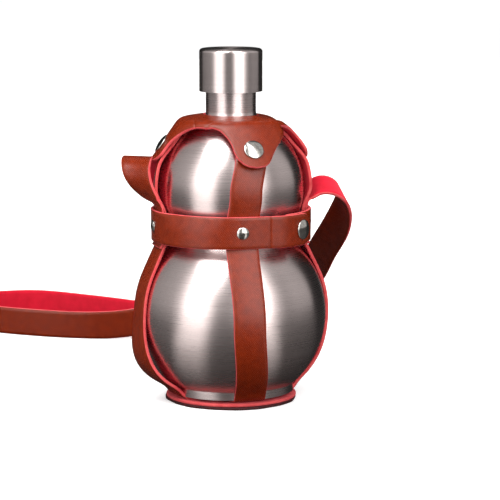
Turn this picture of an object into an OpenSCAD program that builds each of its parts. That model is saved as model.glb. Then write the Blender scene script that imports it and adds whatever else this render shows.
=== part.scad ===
// Double bulb steel flask in a leather harness with a shoulder strap.
// Millimetres, +Z up. The origin is on the ground under the flask's axis.
// The front strap faces -Y. Compass angles are taken from -Y towards +X.

/* [Bulbs] */
// Diameter of the lower bulb
lower_bulb_d = 124; // [118:1:128]
// Diameter of the upper bulb
upper_bulb_d = 95; // [92:1:95]
// Height of the lower bulb's centre above the foot
lower_bulb_rise = 51.5; // [49:0.5:54]
// Distance between the centres of the bulbs
bulb_spacing = 82.5; // [81:0.5:84]
// Radius of the hollow between the bulbs
waist_fillet = 8; // [5:0.5:11]
// Thickness of the steel
steel_t = 0.8; // [0.6:0.1:1.2]

/* [Neck and foot] */
// Outer diameter of the neck
neck_d = 32.6; // [30:0.2:34]
// Radius of the hollow at the root of the neck
neck_fillet = 7; // [5:0.5:8]
// Height of the plain part of the neck
neck_plain_h = 15; // [13:0.5:18]
// Height of the threaded part of the neck
neck_thread_h = 19.6; // [16:0.2:21]
// Depth of the thread
thread_depth = 0.9; // [0.6:0.1:1.1]
// Diameter of the mouth
mouth_d = 28.8; // [26:0.2:29]
// How far the foot ring stands in under the bulb's edge
foot_inset = 1.3; // [1:0.1:3]
// Height of the foot ring
foot_h = 6; // [5:0.5:8]
// Rise of the dished bottom inside the foot ring
bottom_dish = 4; // [2:0.5:6]

/* [Cap] */
// Diameter of the cap
cap_d = 41; // [40:0.5:44]
// Radius of the cap's top edge
cap_edge_r = 2; // [1.5:0.25:2.5]
// Length of the cap's wall below the rim of the neck
cap_skirt_h = 21.4; // [18:0.2:24]
// Thickness of the insert's top plate
insert_top_t = 2.6; // [2:0.2:4]
// Thickness of the sealing ring
gasket_t = 1.4; // [1:0.1:2]
// Thickness of the disc that carries the sealing ring
liner_t = 1.2; // [0.8:0.1:1.6]

/* [Straps] */
// Width of the straps and of the belt
strap_w = 20; // [17:1:21]
// Thickness of the leather
strap_t = 2; // [1.7:0.1:2.2]
// Room between the bulbs and the straps at the belt's edges
waist_gap = 0.6; // [0.4:0.1:1.5]
// Height of the belt's middle above the foot
belt_rise = 110; // [109:0.5:111]
// How far the strap tails reach in under the foot
tail_reach = 20.8; // [18:0.2:23]

/* [Collar] */
// Slope of the collar's lobes
lobe_slope = 55.6; // [53:0.2:58]
// Slope of the collar's ring
ring_slope = 8.8; // [7:0.2:10]
// Bend radius between ring and lobe
lobe_bend_r = 5; // [3:0.5:6]
// Width of a lobe
lobe_w = 25; // [23:0.5:26]
// Distance from the axis to the collar's edge between the lobes
arch_reach = 35.4; // [34:0.2:37]
// Radius where that edge runs into a lobe's side
arch_fillet = 10; // [8:0.5:12]
// Distance of a lobe's hinge line from the axis
lobe_hinge_r = 31.5; // [30:0.5:32]
// Distance of a snap below the place where the lobe is nearest to the bulb
snap_drop = 2; // [0:0.5:3]
// Room for the snap between a lobe and its strap
snap_gap = 1.7; // [1.6:0.1:2]

/* [Base] */
// How far the pad and the sole stand out beyond the foot ring
base_overhang = 1.9; // [1.2:0.1:3]
// Thickness of the pad
pad_t = 2; // [1.6:0.1:2.6]
// Thickness of the sole
sole_t = 2; // [1.6:0.1:2.6]

/* [Fasteners] */
// Diameter of a snap's cap
snap_d = 13; // [12:0.25:14]
// Height of a snap's cap
snap_h = 2; // [1.6:0.1:2.6]
// Diameter of a rivet's head
rivet_d = 8; // [7:0.25:9]
// Height of a rivet's head
rivet_h = 1.6; // [1.4:0.1:2.2]
// Diameter of a rivet's shank
rivet_shank_d = 3; // [2.4:0.1:3.4]

/* [Hidden] */
$fn = 96;

// Clearances: leather from steel, moving leather from fixed leather, fits
leather_gap = 0.3;
moving_gap = 0.3;
fit_gap = 0.1;
overrun = 1;

// The four straps and lobes in turn
FRONT = 0;
RIGHT = 1;
BACK = 2;
LEFT = 3;
strap_angles = [11, 103, -166, -74];
lobe_angles = [18.5, 109, -163, -83.5];
// Sideways drift of each strap in shares of its width:
// at the foot, the lower bulb, the belt, the upper bulb and the snap
drift_shares = [
    [0.22, 0, -0.1, 0.02, 0.28],
    [0, 0, 0, 0, 0.22],
    [0, 0, 0, 0, 0.11],
    [0.14, 0.14, 0, -0.28, -0.36]
];
// Radius of the arches between the lobes in shares of a lobe's width:
// front to right, right to back, back to left, left to front

// Heights and radii of the flask
foot_z = sole_t + pad_t + strap_t;
lower_r = lower_bulb_d / 2;
upper_r = upper_bulb_d / 2;
lower_z = foot_z + lower_bulb_rise;
upper_z = lower_z + bulb_spacing;
neck_r = neck_d / 2;
mouth_r = mouth_d / 2;
waist_centre = waist_fillet_centre(lower_r + waist_fillet, upper_r + waist_fillet);
waist_z = waist_centre[1];
neck_fillet_r = neck_r + neck_fillet;
neck_fillet_z = upper_z + sqrt(pow(upper_r + neck_fillet, 2) - pow(neck_fillet_r, 2));
thread_z = neck_fillet_z + neck_plain_h;
rim_z = thread_z + neck_thread_h;
thread_root_r = neck_r - thread_depth;
bottom_z = foot_z + foot_h;
foot_r = bulb_half_width(bottom_z) - foot_inset;
base_r = foot_r + base_overhang;
tail_end_r = foot_r - tail_reach;

// The cap
cap_r = cap_d / 2;
cap_low_z = rim_z - cap_skirt_h;
liner_z = rim_z + gasket_t;
insert_under_z = liner_z + liner_t + fit_gap;
insert_top_z = insert_under_z + insert_top_t;
cap_top_z = insert_top_z + steel_t;
insert_in_r = neck_r + moving_gap;
insert_out_r = cap_r - steel_t;

// The belt: an oval of two half circles, longest over the shoulder strap's ends
belt_z = foot_z + belt_rise;
belt_low_z = belt_z - strap_w / 2;
belt_top_z = belt_z + strap_w / 2;
strap_waist_r = max(bulb_half_width(belt_low_z), upper_half_width(belt_top_z)) + waist_gap;
belt_in_r = strap_waist_r + strap_t + fit_gap;
belt_spread = strap_t + 2 * fit_gap;
belt_long_angle = 104.5;
flap_hinge_angle = 38;
flap_bend_angle = 8;
flap_snap_angle = 55;
flap_end_angle = 75;
belt_tip_angle = 45;

// How far the collar's ring stands off the upper bulb in shares of the neck's hollow
ring_rest_share = 0.325;
// Room between the neck and the collar's edge in shares of the leather's thickness
collar_hole_share = 0.8;
// How far a strap runs on past its snap's height in shares of its width
strap_end_share = 0.125;

// The collar, measured from the centre of the upper bulb
lobe_out = upper_r + leather_gap + strap_t + snap_gap + strap_t;
ring_out = upper_r + neck_fillet * ring_rest_share;
collar_hole_r = neck_r + strap_t * collar_hole_share;
snap_r = lobe_out * sin(lobe_slope) + snap_drop * cos(lobe_slope);
snap_z = upper_z + lobe_out * cos(lobe_slope) - snap_drop * sin(lobe_slope);
strap_end_z = upper_z + (upper_r + leather_gap) * cos(lobe_slope) + strap_w * strap_end_share;

// Heights at which the straps' drift is set
drift_heights = [foot_z, lower_z, belt_z, upper_z, snap_z];

// The flap's faces, a snap's height outside the belt
flap_in_r = belt_in_r + strap_t + snap_gap;
flap_out_r = flap_in_r + strap_t;

// A straight side runs into a round one this share of its radius from the centre, so that they cross
touch_share = 0.998;
// Radius of a rounded end in shares of its width, a little over half
round_end_share = 0.52;
// How far the lobes' section runs on below their snaps in shares of the upper bulb's radius
lobe_reach_share = 0.5;
// Where an arch's corner starts from a lobe's middle in shares of the lobe's width, just inside its side
arch_touch_share = 0.49;
// How far above its snap a lobe's round tip is centred in shares of the lobe's width
tip_rise_share = 0.09;

// Radii of a snap's parts in shares of its cap's diameter
stud_flange_share = 0.34;
stud_neck_share = 0.12;
stud_ball_share = 0.15;
socket_share = 0.4;
stem_share = 0.11;
// Depth of a socket's bore in shares of the socket's thickness
socket_bore_share = 0.7;

// The snap's parts
stud_flange_t = 0.3;
stud_flange_r = snap_d * stud_flange_share;
stud_neck_r = snap_d * stud_neck_share;
stud_ball_r = snap_d * stud_ball_share;
socket_r = snap_d * socket_share;
socket_t = 1.6;
socket_bore_h = socket_t * socket_bore_share;
// How deep a socket is let into the leather
socket_seat = socket_t - snap_gap / 2;
stem_r = snap_d * stem_share;

// The rivets
rivet_r = rivet_d / 2;
rivet_shank_r = rivet_shank_d / 2;
rivet_hole_r = rivet_shank_r + fit_gap;
// Radius of a rivet's washer in shares of the head's radius
washer_share = 0.85;
washer_r = rivet_r * washer_share;
washer_t = 0.6;
tail_rivet_r = tail_end_r + rivet_d;

// The shoulder strap's ends lie between a strap and the belt and hang out below it
end_hang = 3;
end_r = (strap_waist_r + strap_t + belt_in_r + belt_spread) / 2;
end_heights = [belt_low_z - end_hang, belt_low_z, belt_z, belt_top_z];
// How far an end leans out below the belt in shares of the length that hangs out
end_lean_share = 0.55;

// The shoulder strap's way between its ends: up, over and down behind the flask,
// out to the left along the ground, back, and up to its right end
free_route = [
    [-48, -14, 130], [-52, -15, 134], [-56, -16, 140], [-59, -16, 146], [-61, -13, 153],
    [-61, -8, 157], [-61, 0, 159], [-59, 9, 158], [-54, 19, 155], [-49, 31, 148],
    [-43, 45, 136], [-36, 62, 120], [-28, 88, 92], [-19, 114, 64], [-11, 142, 38],
    [-9, 172, 20], [-20, 204, 11], [-45, 237, 10], [-77, 265, 10], [-112, 290, 10],
    [-152, 311, 10], [-190, 300, 10], [-205, 270, 10], [-182, 242, 10], [-143, 222, 10],
    [-107, 212, 10], [-75, 211, 12], [-47, 211, 19], [-18, 205, 31], [8, 184, 39],
    [28, 152, 45], [44, 118, 54], [55, 86, 70], [62, 62, 89], [70, 40, 107],
    [74, 28, 120], [75, 21, 129], [72, 17, 135], [66, 14, 139], [60, 13, 140],
    [55, 12, 138], [52, 12, 135], [49, 12, 131]
];
// The way the strap's width points along that route
free_width = [
    [-30, 95, 0], [-35, 90, -15], [-50, 80, -20], [-75, 60, -20], [-87, 50, -10],
    [-92, 40, 0], [-94, 35, 0], [-94, 35, 0], [-94, 34, 0], [-95, 30, 0],
    [-96, 25, 0], [-97, 20, 0], [-95, 10, 10], [-90, 0, 30], [-80, 0, 60],
    [-50, 0, 90], [-10, 0, 100], [0, 0, 100], [0, 0, 100], [0, 0, 100],
    [0, 0, 100], [0, 0, 100], [0, 0, 100], [0, 0, 100], [0, 0, 100],
    [0, 0, 100], [-10, 0, 100], [-30, 0, 95], [-50, 0, 90], [-60, 0, 80],
    [-70, 10, 70], [-80, 20, 60], [-83, 21, 52], [-84, 22, 50], [-78, 42, 46],
    [-58, 63, 51], [-30, 85, 42], [-10, 92, 37], [-8, 88, 46], [-18, 81, 55],
    [-30, 74, 60], [-25, 88, 35], [-22, 96, 12]
];
// Route points farther apart than this get a ring of the strap's section between them
ring_step = 18;
// Places of the section's corners across the strap in shares of half its width
face_shares = [0.96, 0.5, 0, -0.5, -0.96];
// Points at each end where the shoulder strap stays cupped, and then again as many where that fades
cup_points = 2;

steel = "silver";
bright = "gainsboro";
brown = "sienna";
red = "crimson";

function waist_fillet_centre(a, b) =
    let (rise = (a * a - b * b + bulb_spacing * bulb_spacing) / (2 * bulb_spacing))
    [sqrt(a * a - rise * rise), lower_z + rise];

// Corner of two straight sections, each given by its slope and its distance from the bulb's centre
function line_corner(slope_a, out_a, slope_b, out_b) =
    let (turn = sin(slope_b - slope_a))
    [(out_b * cos(slope_a) - out_a * cos(slope_b)) / turn,
     (out_a * sin(slope_b) - out_b * sin(slope_a)) / turn];

// A place given by compass angle, distance from the axis and height
function compass(angle, r, z) = [r * sin(angle), -r * cos(angle), z];

// A step from 0 to 1 that starts and ends gently
function smooth(t) = t * t * (3 - 2 * t);

// Where a line from a point at (r, z) touches a circle of the given radius at centre height cz
function touch(r, z, cz, radius, side) =
    let (base = atan2(z - cz, r), span = acos(radius / norm([r, z - cz])), a = base + side * span)
    [radius * touch_share * cos(a), cz + radius * touch_share * sin(a)];

// FLASK

// Outline of the two bulbs and the neck, drawn in by inset
module flask_outline(inset) {
    translate([0, lower_z])
        circle(lower_r - inset);
    translate([0, upper_z])
        circle(upper_r - inset);
    difference() {
        polygon([[0, lower_z], waist_centre, [0, upper_z]]);
        translate(waist_centre)
            circle(waist_fillet + inset);
    }
    difference() {
        polygon([[0, upper_z], [neck_fillet_r, neck_fillet_z], [0, neck_fillet_z]]);
        translate([neck_fillet_r, neck_fillet_z])
            circle(neck_fillet + inset);
    }
}

// The steel between two heights, as a shell of revolution
module steel_shell(low, high) {
    rotate_extrude()
        intersection() {
            difference() {
                flask_outline(0);
                flask_outline(steel_t);
            }
            translate([0, low])
                square([lower_r + overrun, high - low]);
        }
}

module lower_bulb() {
    color(steel)
        steel_shell(bottom_z, waist_z);
}

module upper_bulb() {
    color(steel)
        steel_shell(waist_z, neck_fillet_z);
}

// The neck: a plain part, the thread's seat and a rounded rim round the mouth
module neck_ring() {
    rim_r = (thread_root_r - mouth_r) / 2;
    color(steel)
        rotate_extrude()
            difference() {
                union() {
                    square_from(mouth_r, neck_fillet_z, neck_r, thread_z);
                    square_from(mouth_r, neck_fillet_z, thread_root_r, rim_z - rim_r);
                    translate([mouth_r + rim_r, rim_z - rim_r])
                        circle(rim_r);
                }
                square_from(0, neck_fillet_z - overrun, mouth_r, rim_z + overrun);
            }
}

// A rectangle between two corners
module square_from(x0, y0, x1, y1) {
    translate([x0, y0])
        square([x1 - x0, y1 - y0]);
}

// Distance from the axis to a bulb's outer face at a height
function bulb_half_width(z) = sqrt(lower_r * lower_r - pow(lower_z - z, 2));
function upper_half_width(z) = sqrt(upper_r * upper_r - pow(upper_z - z, 2));

// The bottom: a foot ring, a flange under the bulb and a dished plate
module base_plate() {
    dish_in_r = foot_r - steel_t;
    dish_r = (dish_in_r * dish_in_r + bottom_dish * bottom_dish) / (2 * bottom_dish);
    dish_z = bottom_z + bottom_dish - steel_t - dish_r;
    color(steel)
        rotate_extrude() {
            square_from(dish_in_r, foot_z, foot_r, bottom_z);
            polygon([
                [dish_in_r, bottom_z - steel_t],
                [bulb_half_width(bottom_z - steel_t), bottom_z - steel_t],
                [bulb_half_width(bottom_z), bottom_z],
                [dish_in_r, bottom_z]
            ]);
            intersection() {
                difference() {
                    translate([0, dish_z])
                        circle(dish_r);
                    translate([0, dish_z])
                        circle(dish_r - steel_t);
                }
                square_from(0, foot_z, dish_in_r, bottom_z + bottom_dish);
            }
        }
}

// BASE

module base_sole() {
    color("maroon")
        cylinder(h = sole_t, r = base_r);
}

module base_pad() {
    color(red)
        difference() {
            translate([0, 0, sole_t])
                cylinder(h = pad_t, r = base_r);
            for (i = [FRONT:LEFT])
                tail_rivet_hole(i);
        }
}

// Hole of a tail rivet, with a seat for its lower head
module tail_rivet_hole(i) {
    translate(tail_rivet_place(i, sole_t - overrun))
        cylinder(h = foot_z + 2 * overrun, r = rivet_hole_r);
    translate(tail_rivet_place(i, sole_t - overrun))
        cylinder(h = overrun + washer_t + fit_gap, r = washer_r + fit_gap);
}

function tail_rivet_place(i, z) =
    let (drift = drift_shares[i][0] * strap_w, a = strap_angles[i])
    compass(a, tail_rivet_r, z) + drift * [cos(a), sin(a), 0];

module base_rivets() {
    color(bright)
        for (i = [FRONT:LEFT])
            translate(tail_rivet_place(i, sole_t)) {
                cylinder(h = washer_t, r = washer_r);
                cylinder(h = pad_t + strap_t + washer_t, r = rivet_shank_r);
                translate([0, 0, pad_t + strap_t])
                    cylinder(h = washer_t, r = washer_r);
            }
}

// STRAPS

// Everything inside a layer of leather that stands away from the flask by the given gap
module leather_side(gap) {
    waist_out = strap_waist_r + gap - leather_gap;
    difference() {
        union() {
            translate([0, lower_z])
                circle(lower_r + gap);
            translate([0, upper_z])
                circle(upper_r + gap);
            polygon([
                [0, lower_z],
                touch(waist_out, belt_low_z, lower_z, lower_r + gap, -1),
                [waist_out, belt_low_z],
                [waist_out, belt_top_z],
                touch(waist_out, belt_top_z, upper_z, upper_r + gap, 1),
                [0, upper_z]
            ]);
        }
        square_from(-overrun, lower_z - lower_r - gap - overrun, lower_r, foot_z);
    }
    square_from(0, foot_z, foot_r + gap, bottom_z);
}

// Section of a strap: up from its tail under the foot, over both bulbs
module strap_section() {
    intersection() {
        difference() {
            leather_side(leather_gap + strap_t);
            leather_side(leather_gap);
        }
        square_from(foot_r / 2, foot_z, lower_r + strap_w, rim_z);
    }
    square_from(tail_end_r, foot_z - strap_t, foot_r + leather_gap, foot_z);
    intersection() {
        translate([foot_r + leather_gap, foot_z])
            circle(strap_t);
        square_from(foot_r, foot_z - strap_t, foot_r + leather_gap + strap_t, foot_z);
    }
}

// Sideways drift of a strap at a height, smoothed between the heights of its shares
function drift_at(i, z, k = 0) =
    z <= drift_heights[0] ? drift_shares[i][0] * strap_w :
    k > 3 ? drift_shares[i][4] * strap_w :
    z > drift_heights[k + 1] ? drift_at(i, z, k + 1) :
    let (t = (z - drift_heights[k]) / (drift_heights[k + 1] - drift_heights[k]))
    strap_w * (drift_shares[i][k] + (drift_shares[i][k + 1] - drift_shares[i][k]) * smooth(t));

// Elevation of a strap: two drifting edges and a round top end
module strap_elevation(i) {
    steps = 24;
    low = foot_z - strap_t - overrun;
    heights = concat([low], [for (k = [0:steps - 1]) foot_z + (strap_end_z - foot_z) * k / steps]);
    polygon(concat(
        [for (z = heights) [drift_at(i, z) + strap_w / 2, z]],
        [for (a = [0:15:180])
            [drift_at(i, snap_z) + strap_w / 2 * cos(a), strap_end_z + strap_w / 2 * sin(a)]],
        [for (k = [steps:-1:0]) [drift_at(i, heights[k]) - strap_w / 2, heights[k]]]
    ));
}

module strap(i) {
    color(brown)
        difference() {
            intersection() {
                rotate_extrude()
                    strap_section();
                rotate([0, 0, strap_angles[i]])
                    rotate([90, 0, 0])
                        linear_extrude(lower_r * 2)
                            strap_elevation(i);
            }
            tail_rivet_hole(i);
            belt_rivet_hole(i);
            lobe_frame(i)
                snap_stud_hole();
        }
}

module strap_front() {
    strap(FRONT);
}

module strap_right() {
    strap(RIGHT);
}

module strap_back() {
    strap(BACK);
}

module strap_left() {
    strap(LEFT);
}

// BELT

// Plan of everything inside the belt's face at the given radius on its short axis
module belt_plan(r) {
    rotate([0, 0, belt_long_angle]) {
        translate([0, -belt_spread])
            circle(r);
        translate([0, belt_spread])
            circle(r);
        square([2 * r, 2 * belt_spread], center = true);
    }
}

// Distance of the belt's face from the axis at a compass angle
function belt_reach(angle, r) =
    let (turn = angle - belt_long_angle, along = abs(cos(turn)) * belt_spread)
    along + sqrt(r * r - pow(belt_spread * sin(turn), 2));

// A slice of the plan between two compass angles
module sector(from, to, reach) {
    steps = ceil((to - from) / 30);
    polygon(concat(
        [[0, 0]],
        [for (k = [0:steps]) let (a = from + (to - from) * k / steps)
            [reach * sin(a), -reach * cos(a)]]
    ));
}

module belt() {
    far = lower_r * 2;
    color(brown)
        difference() {
            translate([0, 0, belt_low_z])
                linear_extrude(strap_w)
                    intersection() {
                        difference() {
                            belt_plan(belt_in_r + strap_t);
                            belt_plan(belt_in_r);
                        }
                        sector(belt_tip_angle, flap_hinge_angle + 360, far);
                    }
            for (i = [FRONT:LEFT])
                belt_rivet_hole(i);
            flap_frame()
                snap_stud_hole();
        }
}

// Compass angle of the rivet that holds a strap to the belt
function belt_rivet_angle(i) = strap_angles[i] + atan(drift_shares[i][2] * strap_w / belt_in_r);

module belt_rivet_hole(i) {
    a = belt_rivet_angle(i);
    translate([0, 0, belt_z])
        rotate([0, 0, a])
            rotate([90, 0, 0]) {
                cylinder(h = lower_r * 2, r = rivet_hole_r);
                cylinder(h = strap_waist_r + fit_gap, r = washer_r + fit_gap);
            }
}

// A rivet: a washer inside the strap, a shank and a domed head on the belt
module belt_rivet(i) {
    a = belt_rivet_angle(i);
    face = belt_reach(a, belt_in_r + strap_t) + fit_gap;
    dome_r = (rivet_r * rivet_r + rivet_h * rivet_h) / (2 * rivet_h);
    translate([0, 0, belt_z])
        rotate([0, 0, a])
            rotate([90, 0, 0]) {
                translate([0, 0, strap_waist_r - washer_t])
                    cylinder(h = washer_t, r = washer_r);
                translate([0, 0, strap_waist_r - washer_t])
                    cylinder(h = face - strap_waist_r + washer_t + rivet_h / 2, r = rivet_shank_r);
                translate([0, 0, face])
                    intersection() {
                        translate([0, 0, rivet_h - dome_r])
                            sphere(dome_r);
                        cylinder(h = rivet_h + overrun, r = rivet_r);
                    }
            }
}

module belt_rivets() {
    color(bright)
        for (i = [FRONT:LEFT])
            belt_rivet(i);
}

// Puts the flap's snap square on the flap's outer face, looking outwards
module flap_frame() {
    translate(compass(belt_long_angle, belt_spread, belt_z))
        rotate([0, 0, flap_snap_angle])
            translate([0, -flap_out_r, 0])
                rotate([90, 0, 0])
                    children();
}

// The belt's loose end: it steps out over the belt's other end, which carries the stud
module belt_flap() {
    far = lower_r * 2;
    a = flap_hinge_angle;
    b = a + flap_bend_angle;
    root = atan(moving_gap / belt_in_r);
    color(brown)
        difference() {
            intersection() {
                translate([0, 0, belt_low_z])
                    linear_extrude(strap_w) {
                        intersection() {
                            difference() {
                                belt_plan(flap_out_r);
                                belt_plan(flap_in_r);
                            }
                            sector(b - root, flap_end_angle, far);
                        }
                        polygon([
                            plan_point(a + root, belt_in_r),
                            plan_point(a + root, belt_in_r + strap_t),
                            plan_point(b, flap_out_r),
                            plan_point(b, flap_in_r)
                        ]);
                    }
                flap_frame()
                    translate([0, 0, -strap_w])
                        linear_extrude(2 * strap_w) {
                            circle(strap_w * round_end_share);
                            translate([-2 * strap_w, -strap_w])
                                square([2 * strap_w, 2 * strap_w]);
                        }
            }
            flap_frame()
                snap_stem_hole();
        }
}

function plan_point(angle, r) =
    let (reach = belt_reach(angle, r))
    [reach * sin(angle), -reach * cos(angle)];

// SHOULDER STRAP

// A smooth curve through a table of points
function curve(points, i, t) =
    let (n = len(points) - 1, a = points[max(i - 1, 0)], b = points[i],
         c = points[min(i + 1, n)], d = points[min(i + 2, n)])
    0.5 * (2 * b + (c - a) * t + (2 * a - 5 * b + 4 * c - d) * t * t
        + (3 * b - a - 3 * c + d) * t * t * t);

function curve_way(points, i, t) =
    let (n = len(points) - 1, a = points[max(i - 1, 0)], b = points[i],
         c = points[min(i + 1, n)], d = points[min(i + 2, n)])
    0.5 * ((c - a) + 2 * (2 * a - 5 * b + 4 * c - d) * t
        + 3 * (3 * b - a - 3 * c + d) * t * t);

function unit(v) = v / norm(v);

// Where an end of the shoulder strap lies, and the way its width points there
function end_points(i, heights) =
    [for (z = heights) compass(strap_angles[i], end_r + max(belt_low_z - z, 0) * end_lean_share, z)];
function end_widths(i, side) =
    let (a = strap_angles[i])
    [for (z = end_heights) side * [strap_w * cos(a), strap_w * sin(a), 0]];

// One ring of the strap's section, which is cupped round the flask at both ends
function strap_ring(route, widths, i, t) =
    let (middle = curve(route, i, t), way = unit(curve_way(route, i, t)),
         across = curve(widths, i, t),
         wide = unit(across - (across * way) * way), thick = cross(way, wide),
         from_end = min(i + t, len(route) - 1 - i - t),
         bow = (1 - smooth(min(max(from_end / cup_points - 1, 0), 1))) / (2 * end_r),
         x = strap_w / 2, y = strap_t / 2)
    [for (p = concat([[x, 0]], [for (s = face_shares) [s * x, y]],
                     [[-x, 0]], [for (s = face_shares) [-s * x, -y]]))
        middle + p[0] * wide + (p[1] - bow * p[0] * p[0]) * thick];

module shoulder_strap() {
    upwards = end_points(LEFT, end_heights);
    downwards = end_points(RIGHT, [for (k = [len(end_heights) - 1:-1:0]) end_heights[k]]);
    route = concat(upwards, free_route, downwards);
    widths = concat(end_widths(LEFT, -1), free_width, end_widths(RIGHT, 1));
    last = len(route) - 1;
    places = concat(
        [for (i = [0:last - 1])
            let (between = norm(route[i + 1] - route[i]) > ring_step ? 2 : 1)
            for (k = [0:between - 1]) [i, k / between]],
        [[last - 1, 1]]
    );
    rings = [for (p = places) strap_ring(route, widths, p[0], p[1])];
    sides = len(rings[0]);
    count = len(rings);
    points = [for (ring = rings, p = ring) p];
    skin = [for (r = [0:count - 2], k = [0:sides - 1], half = [0, 1])
        let (a = r * sides + k, b = r * sides + (k + 1) % sides)
        half == 0 ? [a, b + sides, b] : [a, a + sides, b + sides]];
    ends = [for (k = [1:sides - 2], end = [0, 1])
        let (a = (count - 1) * sides)
        end == 0 ? [0, k, k + 1] : [a, a + k + 1, a + k]];
    color(brown)
        difference() {
            polyhedron(points, concat(skin, ends));
            belt_rivet_hole(LEFT);
            belt_rivet_hole(RIGHT);
        }
}

// SNAPS

// The domed cap outside the leather, with its stem through the leather
module snap_cap() {
    dome_r = (pow(snap_d / 2, 2) + snap_h * snap_h) / (2 * snap_h);
    intersection() {
        translate([0, 0, snap_h - dome_r])
            sphere(dome_r);
        cylinder(h = snap_h + overrun, r = snap_d / 2);
    }
    translate([0, 0, -strap_t])
        cylinder(h = strap_t + snap_h / 2, r = stem_r);
}

module snap_stem_hole() {
    translate([0, 0, -strap_t - overrun])
        cylinder(h = strap_t + 2 * overrun, r = stem_r + fit_gap);
    translate([0, 0, -strap_t - overrun])
        cylinder(h = overrun + socket_seat, r = socket_r + fit_gap);
}

// The socket inside the leather, which grips the stud's ball
module snap_socket() {
    translate([0, 0, socket_seat - strap_t - fit_gap - socket_t])
        difference() {
            cylinder(h = socket_t, r = socket_r);
            translate([0, 0, -overrun])
                cylinder(h = overrun + socket_bore_h, r = stud_ball_r + moving_gap);
            translate([0, 0, -overrun])
                cylinder(h = socket_t + 2 * overrun, r = stem_r + fit_gap);
        }
}

// The stud on the leather below: a flange on each side, a neck and a ball
module snap_stud() {
    face = -strap_t - snap_gap;
    back = face - strap_t;
    bore_top = socket_seat - strap_t - fit_gap - socket_t + socket_bore_h;
    translate([0, 0, face])
        cylinder(h = stud_flange_t, r = stud_flange_r);
    translate([0, 0, back - stud_flange_t])
        cylinder(h = stud_flange_t, r = stud_flange_r);
    translate([0, 0, back - stud_flange_t])
        cylinder(h = strap_t + 2 * stud_flange_t, r = stud_neck_r);
    translate([0, 0, face])
        cylinder(h = bore_top - moving_gap - face, r = stud_ball_r);
}

// The stud's hole, with a seat for its inner flange
module snap_stud_hole() {
    back = -snap_gap - 2 * strap_t;
    translate([0, 0, back - strap_t])
        cylinder(h = strap_t + fit_gap, r = stud_flange_r + fit_gap);
    translate([0, 0, back - strap_t])
        cylinder(h = 3 * strap_t, r = stud_neck_r + fit_gap);
}

// Puts a lobe's snap on the lobe's outer face, looking outwards
module lobe_frame(i) {
    rotate([0, 0, lobe_angles[i]])
        translate([0, -snap_r, snap_z])
            rotate([lobe_slope, 0, 0])
                children();
}

module snap_studs() {
    color(bright) {
        for (i = [FRONT:LEFT])
            lobe_frame(i)
                snap_stud();
        flap_frame()
            snap_stud();
    }
}

// COLLAR

// One face of the collar in section: the ring, the bend and the lobe, down to the bulb's middle
function collar_face(inset) =
    let (a = ring_out - inset, b = lobe_out - inset, bend = lobe_bend_r - inset,
         c = line_corner(ring_slope, a - bend, lobe_slope, b - bend),
         start = collar_hole_r, end = upper_r * lobe_reach_share, steps = 12)
    concat(
        [[start, (a - start * sin(ring_slope)) / cos(ring_slope)]],
        [for (k = [0:steps]) let (turn = ring_slope + (lobe_slope - ring_slope) * k / steps)
            c + bend * [sin(turn), cos(turn)]],
        [b * [sin(lobe_slope), cos(lobe_slope)] + end * [cos(lobe_slope), -sin(lobe_slope)]]
    );

module collar_shell() {
    outside = collar_face(0);
    inside = collar_face(strap_t);
    last = len(outside) - 1;
    translate([0, 0, upper_z])
        rotate_extrude()
            polygon(concat(outside, [for (k = [last:-1:0]) inside[k]]));
}

function gap_after(i) = (lobe_angles[(i + 1) % 4] - lobe_angles[i] + 720) % 360;

// Distance from the axis at which the arch after a lobe runs out into the lobe's side
function arch_end(i) =
    let (half = gap_after(i) / 2)
    (arch_reach + arch_fillet - (lobe_w / 2 + arch_fillet) * sin(half)) / cos(half);

// Plan of what is cut away between neighbouring lobes: a straight edge with two round corners
module arch_plan() {
    side = lobe_w * arch_touch_share + arch_fillet;
    for (i = [FRONT:LEFT]) {
        half = gap_after(i) / 2;
        along = side * cos(half) - arch_end(i) * sin(half);
        rotate(lobe_angles[i] + half) {
            translate([along, -arch_reach - arch_fillet])
                circle(arch_fillet);
            translate([-along, -arch_reach - arch_fillet])
                circle(arch_fillet);
            square_from(along, -2 * upper_r, -along, -arch_reach - arch_fillet * (1 - touch_share));
        }
    }
}

// A rectangle in plan that spans a lobe between two distances from the axis
module lobe_span(i, left, right, near, far) {
    rotate(lobe_angles[i])
        square_from(left, -far, right, -near);
}

module collar_ring() {
    color(brown)
        intersection() {
            collar_shell();
            translate([0, 0, upper_z])
                linear_extrude(upper_r)
                    difference() {
                        circle(snap_r);
                        arch_plan();
                        for (i = [FRONT:LEFT])
                            lobe_span(i, -upper_r, upper_r, lobe_hinge_r, 2 * upper_r);
                    }
        }
}

// A lobe beyond its hinge line, with a round tip about its snap
module tab(i) {
    near = lobe_hinge_r + moving_gap;
    before = (i + 3) % 4;
    color(brown)
        difference() {
            intersection() {
                collar_shell();
                translate([0, 0, upper_z])
                    linear_extrude(upper_r)
                        difference() {
                            union() {
                                lobe_span(i, -lobe_w / 2, lobe_w / 2, near, lower_r);
                                lobe_span(i, -lobe_w, 0, near, arch_end(before));
                                lobe_span(i, 0, lobe_w, near, arch_end(i));
                            }
                            arch_plan();
                        }
                lobe_frame(i)
                    translate([0, 0, -upper_r])
                        linear_extrude(2 * upper_r) {
                            translate([0, lobe_w * tip_rise_share])
                                circle(lobe_w * round_end_share);
                            translate([-lobe_w, lobe_w * tip_rise_share])
                                square([2 * lobe_w, 2 * upper_r]);
                        }
            }
            lobe_frame(i)
                snap_stem_hole();
        }
}

module tab_cap(i) {
    color(bright)
        lobe_frame(i)
            snap_cap();
}

module tab_socket(i) {
    color(bright)
        lobe_frame(i)
            snap_socket();
}

module tab_front() {
    tab(FRONT);
}

module tab_front_cap() {
    tab_cap(FRONT);
}

module tab_front_socket() {
    tab_socket(FRONT);
}

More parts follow.
